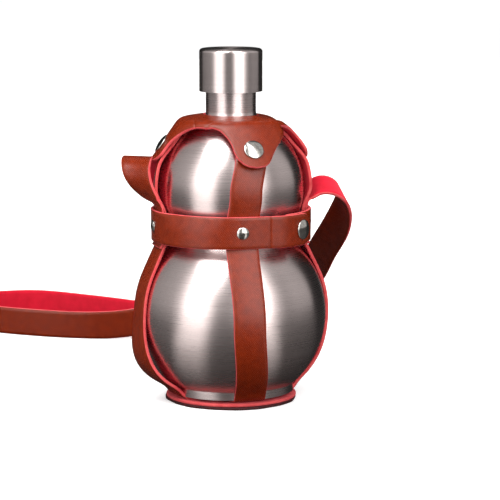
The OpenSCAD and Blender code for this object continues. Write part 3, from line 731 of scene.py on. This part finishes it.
def strap_lift(side, at, z):
    """How far a strap stands off its line: its waves, its open side and its hanging one."""
    lift = STRAP_RIPPLE * ACROSS ** 2 * (1 + np.sin(at / RIPPLE_LENGTH + STRAP_ANGLES[side]))[:, None]
    free_side, flare = STRAP_FLARE[side]
    above_belt = smooth((z - BELT_Z - STRAP_W / 2) / FLARE_FADE_LOW)
    below_snap = smooth((SNAP_Z + 1 - z) / FLARE_FADE_HIGH)
    lift = lift + flare * above_belt * below_snap * (0.5 + 0.5 * free_side * ACROSS) ** 1.3
    hang = STRAP_SLACK[side] * slack_share((z - FOOT_Z - 2) / (LOWER_Z - FOOT_Z + 2))
    return lift + hang * STRAP_TWIST[side] * ACROSS


def make_strap(side):
    line = strap_line(STRAP_SLACK[side])
    along = lengths_along(line)
    tip_from = along[-1] - STRAP_TIP_LENGTH
    tip = tip_from + STRAP_TIP_LENGTH * np.sin(np.linspace(0, math.pi / 2, 12))
    at = np.concatenate([along[along < tip_from], tip])
    line = points_at(at, along, line)
    way = unit(np.gradient(line, axis=0))
    half = STRAP_W / 2 * round_end((at - tip_from) / STRAP_TIP_LENGTH)
    u = drift_at(side, line[:, 1])[:, None] + half[:, None] * ACROSS
    r, z = line[:, 0][:, None], spread(line[:, 1])
    radial = np.sqrt(np.maximum(r ** 2 - u ** 2, 1))
    middle = np.stack([u, -radial, z], axis=-1)
    rise = way[:, 1][:, None] / r
    outward = unit(np.stack([rise * u, -rise * radial, spread(-way[:, 0])], axis=-1))
    middle = middle + outward * strap_lift(side, at, z)[..., None]
    middle, outward = (turned_about_z(rows, STRAP_ANGLES[side]) for rows in (middle, outward))
    uv = np.stack([u, spread(at)], axis=-1)
    piece = leather_sheet("strap_leather_" + side, middle, outward, uv)
    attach(piece, "root")
    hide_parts("strap_" + side)


# BELT AND ITS FLAP

def belt_reach(angle, r):
    """Distance of the belt's face from the axis, for a face at r on its short axis."""
    turn = np.radians(angle - BELT_LONG_ANGLE)
    return np.abs(np.cos(turn)) * BELT_SPREAD + np.sqrt(r * r - (BELT_SPREAD * np.sin(turn)) ** 2)


def belt_line(angles):
    """The middle of the belt's thickness. The belt climbs over its own end."""
    climb = smooth((angles - FLAP_CLIMB_ANGLE) / (FLAP_STEP_ANGLE - FLAP_CLIMB_ANGLE))
    radii = BELT_R + LEATHER_T / 2 + FLAP_LIFT * climb
    return compass(angles, belt_reach(angles, radii), BELT_Z)


def band(name, angles, half, waviness, seam):
    """A strip of leather along the belt's line, whose length counts from the flap's root."""
    line = belt_line(angles)
    way = unit(belt_line(angles + 0.1) - belt_line(angles - 0.1))
    out = np.cross(way, (0, 0, 1))
    along = lengths_along(line)
    along = along - np.interp(FLAP_ROOT_ANGLE, angles, along)
    height = half[:, None] * ACROSS
    turn = (angles + 180) % 360 - 180
    lean = BELT_LEAN * smooth((turn - BELT_LEAN_FROM) / BELT_LEAN_RISE)
    lean = lean * smooth((BELT_LEAN_TO - turn) / BELT_LEAN_FALL)
    lift = (waviness * np.sin(along / BELT_RIPPLE_LENGTH))[:, None] * ACROSS
    lift = lift - lean[:, None] * np.clip(ACROSS, 0, 1) ** 1.5
    middle = line[:, None, :] + out[:, None, :] * lift[..., None]
    middle[..., 2] += height
    outward = np.repeat(out[:, None, :], len(ACROSS), axis=1)
    uv = np.stack([spread(along), height], axis=-1)
    return leather_sheet(name, middle, outward, uv, seam=seam)


def make_belt():
    angles = np.linspace(BELT_TIP_ANGLE - 360, FLAP_ROOT_ANGLE, BELT_STEPS)
    half = np.full(BELT_STEPS, STRAP_W / 2)
    piece = band("belt_leather", angles, half, BELT_RIPPLE, lambda i, j: i == BELT_STEPS - 1)
    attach(piece, "root")
    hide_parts("belt")


def flap_snap():
    """Centre and outward way of the flap's snap, on the flap's outer face."""
    centre = compass(BELT_LONG_ANGLE, BELT_SPREAD, 0)
    outer = BELT_R + LEATHER_T + FLAP_LIFT
    way = compass(FLAP_SNAP_ANGLE, 1, 0)
    return centre + outer * way + np.array([0, 0, BELT_Z]), way


def make_flap():
    snap, _ = flap_snap()
    snap_angle = math.degrees(math.atan2(snap[0], -snap[1]))
    reach = np.linalg.norm(snap[:2])
    end_angle = snap_angle + math.degrees(ROUND_END_SHARE * STRAP_W / reach)
    round_from = end_angle - math.degrees(STRAP_W / 2 / reach)
    body = np.arange(FLAP_ROOT_ANGLE, round_from, 1.0)
    tip = round_from + (end_angle - round_from) * np.sin(np.linspace(0, math.pi / 2, 12))
    angles = np.concatenate([body, tip])
    half = STRAP_W / 2 * round_end((angles - round_from) / (end_angle - round_from))
    piece = band("flap_leather", angles, half, 0.0, lambda i, j: i == 0)
    start = compass(*FLAP_BEND_FROM, BELT_Z) * MM
    end = compass(*FLAP_BEND_TO, BELT_Z) * MM
    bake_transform(piece)
    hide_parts("belt_flap")


# COLLAR

# Columns of points across a lobe, and rows of them across the ring round the neck
LOBE_COLUMNS = 25
RING_ROWS = 9


def section_corner(slope_a, out_a, slope_b, out_b):
    a, b = math.radians(slope_a), math.radians(slope_b)
    turn = math.sin(b - a)
    return np.array([
        (out_b * math.cos(a) - out_a * math.cos(b)) / turn,
        (out_a * math.sin(b) - out_b * math.sin(a)) / turn,
    ])


def collar_section():
    """The middle of the collar's thickness as (radius, height, length along it)."""
    inset = LEATHER_T / 2
    ring, lobe, bend = RING_OUT - inset, LOBE_OUT - inset, LOBE_BEND_R - inset
    centre = section_corner(RING_SLOPE, ring - bend, LOBE_SLOPE, lobe - bend)
    ring_turn, lobe_turn = math.radians(RING_SLOPE), LOBE_TURN
    line = [(COLLAR_HOLE_R, (ring - COLLAR_HOLE_R * math.sin(ring_turn)) / math.cos(ring_turn))]
    for turn in np.linspace(ring_turn, lobe_turn, 16):
        line.append(tuple(centre + bend * np.array([math.sin(turn), math.cos(turn)])))
    far = lobe * np.array([math.sin(lobe_turn), math.cos(lobe_turn)])
    far = far + 30 * np.array([math.cos(lobe_turn), -math.sin(lobe_turn)])
    line.append(tuple(far))
    line = softened(resampled(line, 1.0), 6)
    return np.column_stack([line[:, 0], line[:, 1] + UPPER_Z, lengths_along(line)])


COLLAR_SECTION = collar_section()


def on_collar(plan):
    """Places, outward ways and UV of points of the collar's plan."""
    radius = np.linalg.norm(plan, axis=-1)
    reach, height, along = COLLAR_SECTION.T
    z = np.interp(radius, reach, height)[..., None]
    fall = np.interp(radius, reach, np.gradient(height, reach))[..., None]
    ray = plan / radius[..., None]
    uv = ray * (np.interp(radius, reach, along) + COLLAR_HOLE_R)[..., None]
    middle = np.concatenate([plan, z], axis=-1)
    outward = unit(np.concatenate([-fall * ray, np.ones_like(z)], axis=-1))
    tilt = 0 * outward
    for place, width, rise in COLLAR_SWELLS:
        offset = plan - np.array(place)
        swell = rise * np.exp(-np.sum(offset ** 2, axis=-1, keepdims=True) / width ** 2)
        middle = middle + outward * swell
        tilt = tilt + 2 * swell / width ** 2 * np.concatenate([offset, 0 * z], axis=-1)
    return middle, unit(outward + tilt), uv


def gap_after(side):
    """Angle from a lobe to the next one."""
    following = LOBE_ORDER[(LOBE_ORDER.index(side) + 1) % 4]
    return (LOBE_ANGLES[following] - LOBE_ANGLES[side]) % 360


def arch_side(side, distance):
    """Half width of a lobe at distances from the axis, on the side of the arch after it."""
    half_gap = math.radians(gap_after(side) / 2)
    corner = LOBE_W / 2 + ARCH_FILLET
    far = (ARCH_REACH + ARCH_FILLET - corner * math.sin(half_gap)) / math.cos(half_gap)
    near = far - ARCH_FILLET * math.cos(half_gap)
    straight = (ARCH_REACH - distance * math.cos(half_gap)) / math.sin(half_gap)
    drop = np.clip(far - distance, 0, ARCH_FILLET)
    rounded = corner - np.sqrt(ARCH_FILLET ** 2 - drop ** 2)
    return np.where(distance < near, straight, rounded)


def lobe_plan(side, distance, across):
    """Plan places of a lobe, at distances from the axis and sideways places."""
    a = math.radians(LOBE_ANGLES[side])
    out = np.array([math.sin(a), -math.cos(a)])
    sideways = np.array([math.cos(a), math.sin(a)])
    return distance[..., None] * out + across[..., None] * sideways


def make_lobe(side):
    before = LOBE_ORDER[LOBE_ORDER.index(side) - 1]
    fall = math.cos(LOBE_TURN)
    tip_start = math.sqrt(TIP_R ** 2 - (LOBE_W / 2) ** 2)
    tip_centre = SNAP_R - TIP_RISE * fall
    body = np.arange(LOBE_SEAM_R, tip_centre + tip_start * fall, 1.0)
    turns = np.linspace(math.asin(tip_start / TIP_R), math.pi / 2 - 0.03, 12)
    distance = np.concatenate([body, tip_centre + TIP_R * np.sin(turns) * fall])
    if side == "front":
        left, right = (np.interp(distance, *np.transpose(FRONT_LOBE_EDGES[k])) for k in ("left", "right"))
    else:
        close = np.concatenate([np.ones(len(body)), TIP_R * np.cos(turns) / (LOBE_W / 2)])
        left, right = arch_side(before, distance) * close, arch_side(side, distance) * close
    shares = np.linspace(0, 1, LOBE_COLUMNS)
    sideways = -left[:, None] + (left + right)[:, None] * shares
    plan = lobe_plan(side, np.repeat(distance[:, None], LOBE_COLUMNS, axis=1), sideways)
    middle, outward, uv = on_collar(plan)
    piece = leather_sheet("lobe_leather_" + side, middle, outward, uv, seam=lambda i, j: i == 0)
    start = compass(LOBE_ANGLES[side], *LOBE_BEND_FROM) * MM
    end = compass(LOBE_ANGLES[side], *LOBE_BEND_TO) * MM
    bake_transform(piece)
    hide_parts("tab_" + side)


def collar_rim():
    """The ring's outer border in plan, with True where it is the seam of a lobe."""
    rim, seams = [], []
    for i, side in enumerate(LOBE_ORDER):
        seam_r = np.array(LOBE_SEAM_R)
        left, right = arch_side(LOBE_ORDER[i - 1], seam_r), arch_side(side, seam_r)
        root = np.linspace(-left, right, LOBE_COLUMNS)
        rim += list(lobe_plan(side, np.full(LOBE_COLUMNS, LOBE_SEAM_R), root))
        last = lobe_plan(LOBE_ORDER[(i + 1) % 4], seam_r, -right)
        rim += [rim[-1] * (1 - share) + last * share for share in (0.25, 0.5, 0.75)]
        seams += [True] * LOBE_COLUMNS + [False] * 3
    return np.array(rim), seams


def make_collar():
    rim, seams = collar_rim()
    share = np.linspace(0, 1, RING_ROWS)[:, None, None]
    inner = unit(rim) * COLLAR_HOLE_R
    middle, outward, uv = on_collar(inner * (1 - share) + rim * share)
    piece = leather_sheet(
        "collar_leather", middle, outward, uv, closed=True,
        seam=lambda i, j: i == RING_ROWS - 1 and seams[j],
    )
    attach(piece, "root")
    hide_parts("collar_ring")


# SHOULDER STRAP

# The strap is bowed across by the belt over this length of its ends, and flat further on
BOW_FULL = 24.0
BOW_FADE = 26.0
# Rows of points along it, and how many of them at each end keep their place exactly
SHOULDER_ROWS = 380
HELD_ROWS = 12


def curve(points, i, t):
    """A smooth curve through the points, at a share t of the way from point i to the next."""
    n = len(points) - 1
    a, b, c, d = points[max(i - 1, 0)], points[i], points[min(i + 1, n)], points[min(i + 2, n)]
    bend = (2 * a - 5 * b + 4 * c - d) * t ** 2 + (3 * b - a - 3 * c + d) * t ** 3
    return 0.5 * (2 * b + (c - a) * t + bend)


def shoulder_line():
    """The middle line of the shoulder strap and the way its width points."""
    left, right = STRAP_ANGLES["left"], STRAP_ANGLES["right"]
    upwards = [compass(left, END_R + lean, z) for z, lean in END_HEIGHTS]
    downwards = [compass(right, END_R + lean, z) for z, lean in END_HEIGHTS[::-1]]
    route = np.array([*upwards, *np.array(FREE_ROUTE, float), *downwards])
    left_width = -compass(left + 90, 100, 0)
    right_width = compass(right + 90, 100, 0)
    width = np.array([*[left_width] * 4, *np.array(FREE_WIDTH, float), *[right_width] * 4])
    steps = [(i, k / 6) for i in range(len(route) - 1) for k in range(6)] + [(len(route) - 2, 1.0)]
    line = np.array([curve(route, i, t) for i, t in steps])
    width = np.array([curve(width, i, t) for i, t in steps])
    return line, width


def make_shoulder_strap():
    line, width = shoulder_line()
    along = lengths_along(line)
    at = np.linspace(0, along[-1], SHOULDER_ROWS)
    line, width = points_at(at, along, line), unit(points_at(at, along, width))
    free = slice(HELD_ROWS, -HELD_ROWS)
    eased_line, eased_width = softened(line, 4), softened(width, 24)
    line[free], width[free] = eased_line[free], eased_width[free]
    way = unit(np.gradient(line, axis=0))
    width = unit(width - np.sum(width * way, axis=1, keepdims=True) * way)
    out = np.cross(way, width)
    across = np.linspace(-1, 1, 9) * STRAP_W / 2
    from_end = np.minimum(at, at[-1] - at)
    bow = (1 - smooth((from_end - BOW_FULL) / BOW_FADE)) / (2 * END_R)
    middle = line[:, None, :] + width[:, None, :] * across[None, :, None]
    middle = middle - out[:, None, :] * (bow[:, None] * across ** 2)[..., None]
    middle[..., 2] = np.maximum(middle[..., 2], FLOOR_GAP)
    outward = out[:, None, :] + width[:, None, :] * (2 * bow[:, None] * across)[..., None]
    uv = np.stack(np.broadcast_arrays(across[None, :], at[:, None]), axis=-1)
    piece = leather_sheet("shoulder_strap_leather", middle, outward, uv)
    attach(piece, "root")
    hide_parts("shoulder_strap")


# BASE

def disc_profile(low, high, r):
    """A disc's profile with eased edges, from its middle below to its middle above."""
    ease = (high - low) * 0.35
    flat = (0.5, 10, 20, 30, r - 2, r - ease)
    turns = np.linspace(0, math.pi / 2 - 0.3, 5)
    line = [(x, low) for x in flat]
    line += [(r - ease + ease * math.cos(a), low + ease - ease * math.sin(a)) for a in turns[::-1]]
    line += [(r - ease + ease * math.cos(a), high - ease + ease * math.sin(a)) for a in turns]
    return line + [(x, high) for x in flat[::-1]]


def wavy_edge(a):
    """Share of its radius that the sole's wavy edge has at an angle."""
    return 1 + 0.010 * math.sin(3 * a + 1) + 0.008 * math.sin(7 * a) + 0.004 * math.sin(17 * a)


def make_base():
    pad = lathe("pad_suede", disc_profile(SOLE_T, SOLE_T + PAD_T, BASE_R))
    pad.data.materials.append(cut_edge)
    # The dark sole under the pad is painted shade for the shadow and reflection under the base
    sole = lathe("sole_painted_shade", disc_profile(0, SOLE_T - FIT_GAP, SOLE_R), wave=wavy_edge)
    sole.data.materials.append(sole_painted_shade)
    for piece, node, slot in ((pad, "base_pad", "red_leather"), (sole, "base_sole", "dark_leather")):
        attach(piece, "root")
        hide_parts(node)


# SNAPS AND RIVETS

def button(name, place, way, profile):
    """A turned metal head on a place, looking along way."""
    piece = lathe(name, profile, steps=48)
    piece.data.materials.append(polished_metal)
    piece.matrix_world = Vector(tuple(way)).to_track_quat("Z", "Y").to_matrix().to_4x4()
    piece.location = tuple(np.asarray(place) * MM)
    return piece


def cap_profile():
    """A snap's cap: a rolled rim and a shallow dome."""
    r, h = SNAP_CAP_R, SNAP_CAP_H
    line = [(r * 0.9, 0.0), (r * 0.97, 0.1), (r, 0.42), (r * 0.985, 0.72), (r * 0.94, 0.95)]
    line += [(r * s, 1.0 + (h - 1.0) * (1 - (s / 0.92) ** 2)) for s in np.linspace(0.9, 0.02, 16)]
    return line


def rivet_profile():
    """A rivet's head: a short rim and a dome."""
    r, h = RIVET_R, RIVET_H
    line = [(r * 0.88, 0.0), (r * 0.97, 0.08), (r, 0.3), (r * 0.96, 0.52)]
    line += [(r * s, 0.6 + (h - 0.6) * (1 - (s / 0.93) ** 2.4)) for s in np.linspace(0.9, 0.02, 12)]
    return line


def make_snap_caps():
    for side in LOBE_ORDER:
        place = compass(LOBE_ANGLES[side], SNAP_R, SNAP_Z)
        way = compass(LOBE_ANGLES[side], math.sin(LOBE_TURN), math.cos(LOBE_TURN))
        piece = button("snap_cap_" + side, place, way, cap_profile())
        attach(piece, "lobe_" + side)
        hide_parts("tab_" + side + "_cap")
    place, way = flap_snap()
    piece = button("snap_cap_flap", place, way, cap_profile())
    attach(piece, "flap")
    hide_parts("belt_flap_cap")


def make_rivets():
    for side, angle in STRAP_ANGLES.items():
        turn = angle + math.degrees(math.atan(STRAP_DRIFTS[side][2] / BELT_R))
        reach = float(belt_reach(turn, BELT_R + LEATHER_T))
        place = compass(turn, reach, BELT_Z)
        piece = button("belt_rivet_" + side, place, compass(turn, 1, 0), rivet_profile())
        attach(piece, "root")
        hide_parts("belt_rivets")


# THREADS

# A thread's ridge across its pitch: (place, share of its depth)
RIDGE = [(-0.31, 0.0), (-0.174, 0.75), (0.0, 1.0), (0.174, 0.75), (0.31, 0.0)]


def make_thread(name, root_r, crest_r, low, high, material, body):
    """A round-crested ridge that winds up between two heights and fades out at its ends."""
    per_turn = 64
    turns = (high - low) / THREAD_PITCH
    count = int(turns * per_turn)
    points, faces = [], []
    for i in range(count + 1):
        share = i / count
        fade = min(1.0, share * turns * 4, (1 - share) * turns * 4)
        a = 2 * math.pi * i / per_turn
        z = low + (high - low) * share
        for side, rise in RIDGE:
            r = root_r + (crest_r - root_r) * rise * fade
            points.append((r * math.sin(a), -r * math.cos(a), z + side * THREAD_PITCH))
    width = len(RIDGE)
    for i in range(count):
        for j in range(width - 1):
            k = i * width + j
            face = [k, k + width, k + width + 1, k + 1]
            faces.append(face[::-1] if crest_r > root_r else face)
    piece = new_mesh(name, points, faces)
    piece.data.materials.append(material)
    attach(piece, body)
    return piece


def make_threads():
    neck = make_thread("neck_thread", NECK_ROOT_R, NECK_CREST_R, *NECK_THREAD, brushed_steel, "root")
    cap = make_thread("cap_thread", CAP_ROOT_R, CAP_CREST_R, *CAP_THREAD, black_plastic, "cap_turned")


# STUDIO

# Brightness of the room by compass angle: soft boxes to both sides of the camera, dark behind
ROOM = [
    (-180, 0.5), (-160, 0.3), (-145, 0.03), (-130, 0.03), (-124, 0.38), (-100, 0.50), (-78, 0.60),
    (-67, 1.1), (-58, 2.6), (-33, 2.8), (-24, 1.2), (-17, 0.34), (2, 0.36), (10, 1.3), (18, 4.2),
    (44, 4.2), (54, 1.8), (63, 0.80), (72, 0.45), (90, 0.60), (116, 0.58), (123, 0.04), (148, 0.03),
    (162, 0.4), (180, 0.5),
]
ROOM_PEAK = 4.2
# The room's white as the camera sees it, and its dark far side as the top of the cap mirrors it
BACKDROP = 1.02
FAR_SIDE = (0.006, 0.006, 0.006, 1)
# Painted light on the floor for the rays that the steel mirrors, by compass angle: pale bands where the soft
# boxes would light it
FLOOR_PAINTED_LIGHT = [
    (-180, 0.2), (-160, 0.1), (-145, 0.02), (-110, 0.06), (-68, 0.08), (-54, 0.75), (-34, 0.85),
    (-20, 0.06), (28, 0.05), (36, 0.8), (44, 0.7), (56, 0.08), (110, 0.05), (120, 0.02), (150, 0.02),
    (162, 0.1), (180, 0.2),
]
# The floor has painted shade in the steel close to the flask and its full painted light this far out, in
# metres
FLOOR_NEAR = 0.045
FLOOR_FAR = 0.20
FLOOR_SHADOW = (0.03, 0.028, 0.028, 1)
FLOOR_WHITE = (0.8, 0.8, 0.8, 1)
FLOOR_GLOW = 0.45
FLOOR_SIZE = 3000.0


def compass_ramp(tree, kind, table, peak):
    """Grey levels from a table of compass angles as shares of their peak, a little warm."""
    place = place_group(tree, compass_group, kind)
    stops = []
    for angle, level in table:
        grey = level / peak
        stops.append(((angle + 180) / 360, (grey, grey * 0.985, grey * 0.975, 1)))
    return ramp(tree, place.outputs["Place"], stops)


def seen_and_reflected(tree, seen, reflected):
    """A colour for what the camera sees, and another one for every other ray."""
    rays = tree.nodes.new("ShaderNodeLightPath")
    return add_mix(tree, rays.outputs["Is Camera Ray"], reflected, seen)


def make_floor():
    corners = [(x * FLOOR_SIZE, y * FLOOR_SIZE, -0.05) for x, y in ((-1, -1), (1, -1), (1, 1), (-1, 1))]
    floor = new_mesh("floor", corners, [[0, 1, 2, 3]])
    material, tree, shader = new_material("Pale floor", Roughness=0.9, Specular_IOR_Level=0.0)
    reach = add_node(tree, "VectorMath", operation="LENGTH")
    tree.links.new(coordinates(tree, "Object"), reach.inputs[0])
    away = add_node(tree, "MapRange", Value=reach.outputs["Value"], From_Min=FLOOR_NEAR)
    away.inputs["From Max"].default_value = FLOOR_FAR
    # Painted shade near the flask and painted light bands further out, for the rays that the steel mirrors
    reflected = add_mix(tree, away.outputs[0], FLOOR_SHADOW, compass_ramp(tree, "Object", FLOOR_PAINTED_LIGHT, 1.0))
    tree.links.new(seen_and_reflected(tree, FLOOR_WHITE, reflected), shader.inputs["Base Color"])
    rays = tree.nodes.new("ShaderNodeLightPath")
    glow = add_math(tree, "MULTIPLY", rays.outputs["Is Camera Ray"], FLOOR_GLOW)
    tree.links.new(glow, shader.inputs["Emission Strength"])
    shader.inputs["Emission Color"].default_value = (1, 1, 1, 1)
    floor.data.materials.append(material)


def make_room():
    """A grey room with two soft boxes, and a white backdrop for what the camera sees of it."""
    world = bpy.data.worlds.new("Room")
    bpy.context.scene.world = world
    world.use_nodes = True
    tree = world.node_tree
    background = tree.nodes["Background"]
    split = add_node(tree, "SeparateXYZ", Vector=coordinates(tree, "Generated"))
    behind = add_node(tree, "MapRange", Value=split.outputs["Y"], From_Min=0.5, From_Max=0.8)
    low = add_node(tree, "MapRange", Value=split.outputs["Z"], From_Min=0.7, From_Max=0.5)
    far_side = add_math(tree, "MULTIPLY", behind.outputs[0], low.outputs[0])
    mirrored = add_mix(tree, far_side, compass_ramp(tree, "Generated", ROOM, ROOM_PEAK), FAR_SIDE)
    white = BACKDROP / ROOM_PEAK
    seen = seen_and_reflected(tree, (white, white, white, 1), mirrored)
    tree.links.new(seen, background.inputs["Color"])
    background.inputs["Strength"].default_value = ROOM_PEAK


def make_light(name, place, target, size, power, mirrored=True):
    """A round soft light; where mirrored is False it doesn't show in the steel."""
    light = bpy.data.lights.new(name, "AREA")
    light.shape = "DISK"
    light.size = size
    light.energy = power
    lamp = new_object(name, light)
    lamp.location = place
    lamp.rotation_euler = (Vector(target) - Vector(place)).to_track_quat("-Z", "Y").to_euler()
    lamp.visible_glossy = mirrored


def make_camera():
    camera = bpy.data.cameras.new("Camera")
    camera.sensor_width = 36.0
    camera.lens = 183.6
    camera.clip_end = 20.0
    holder = new_object("Camera", camera)
    holder.location = (0, -1.650, 0.345)
    holder.rotation_euler = (math.radians(90 - 8.512), 0, math.radians(-0.431))
    bpy.context.scene.camera = holder


make_camera()
make_shoulder_strap()
for side in STRAP_ANGLES:
    make_strap(side)
make_belt()
make_flap()
make_collar()
for side in LOBE_ORDER:
    make_lobe(side)
make_base()
make_snap_caps()
make_rivets()
make_threads()
make_floor()
make_room()
make_light("Overhead", (-0.5, -0.6, 1.4), target=(0, 0, 0.15), size=0.9, power=17)
make_light("Back fill", (0.5, 1.3, 0.9), target=(0, 0.1, 0.1), size=1.0, power=12, mirrored=False)
bpy.context.scene.view_settings.view_transform = "Standard"
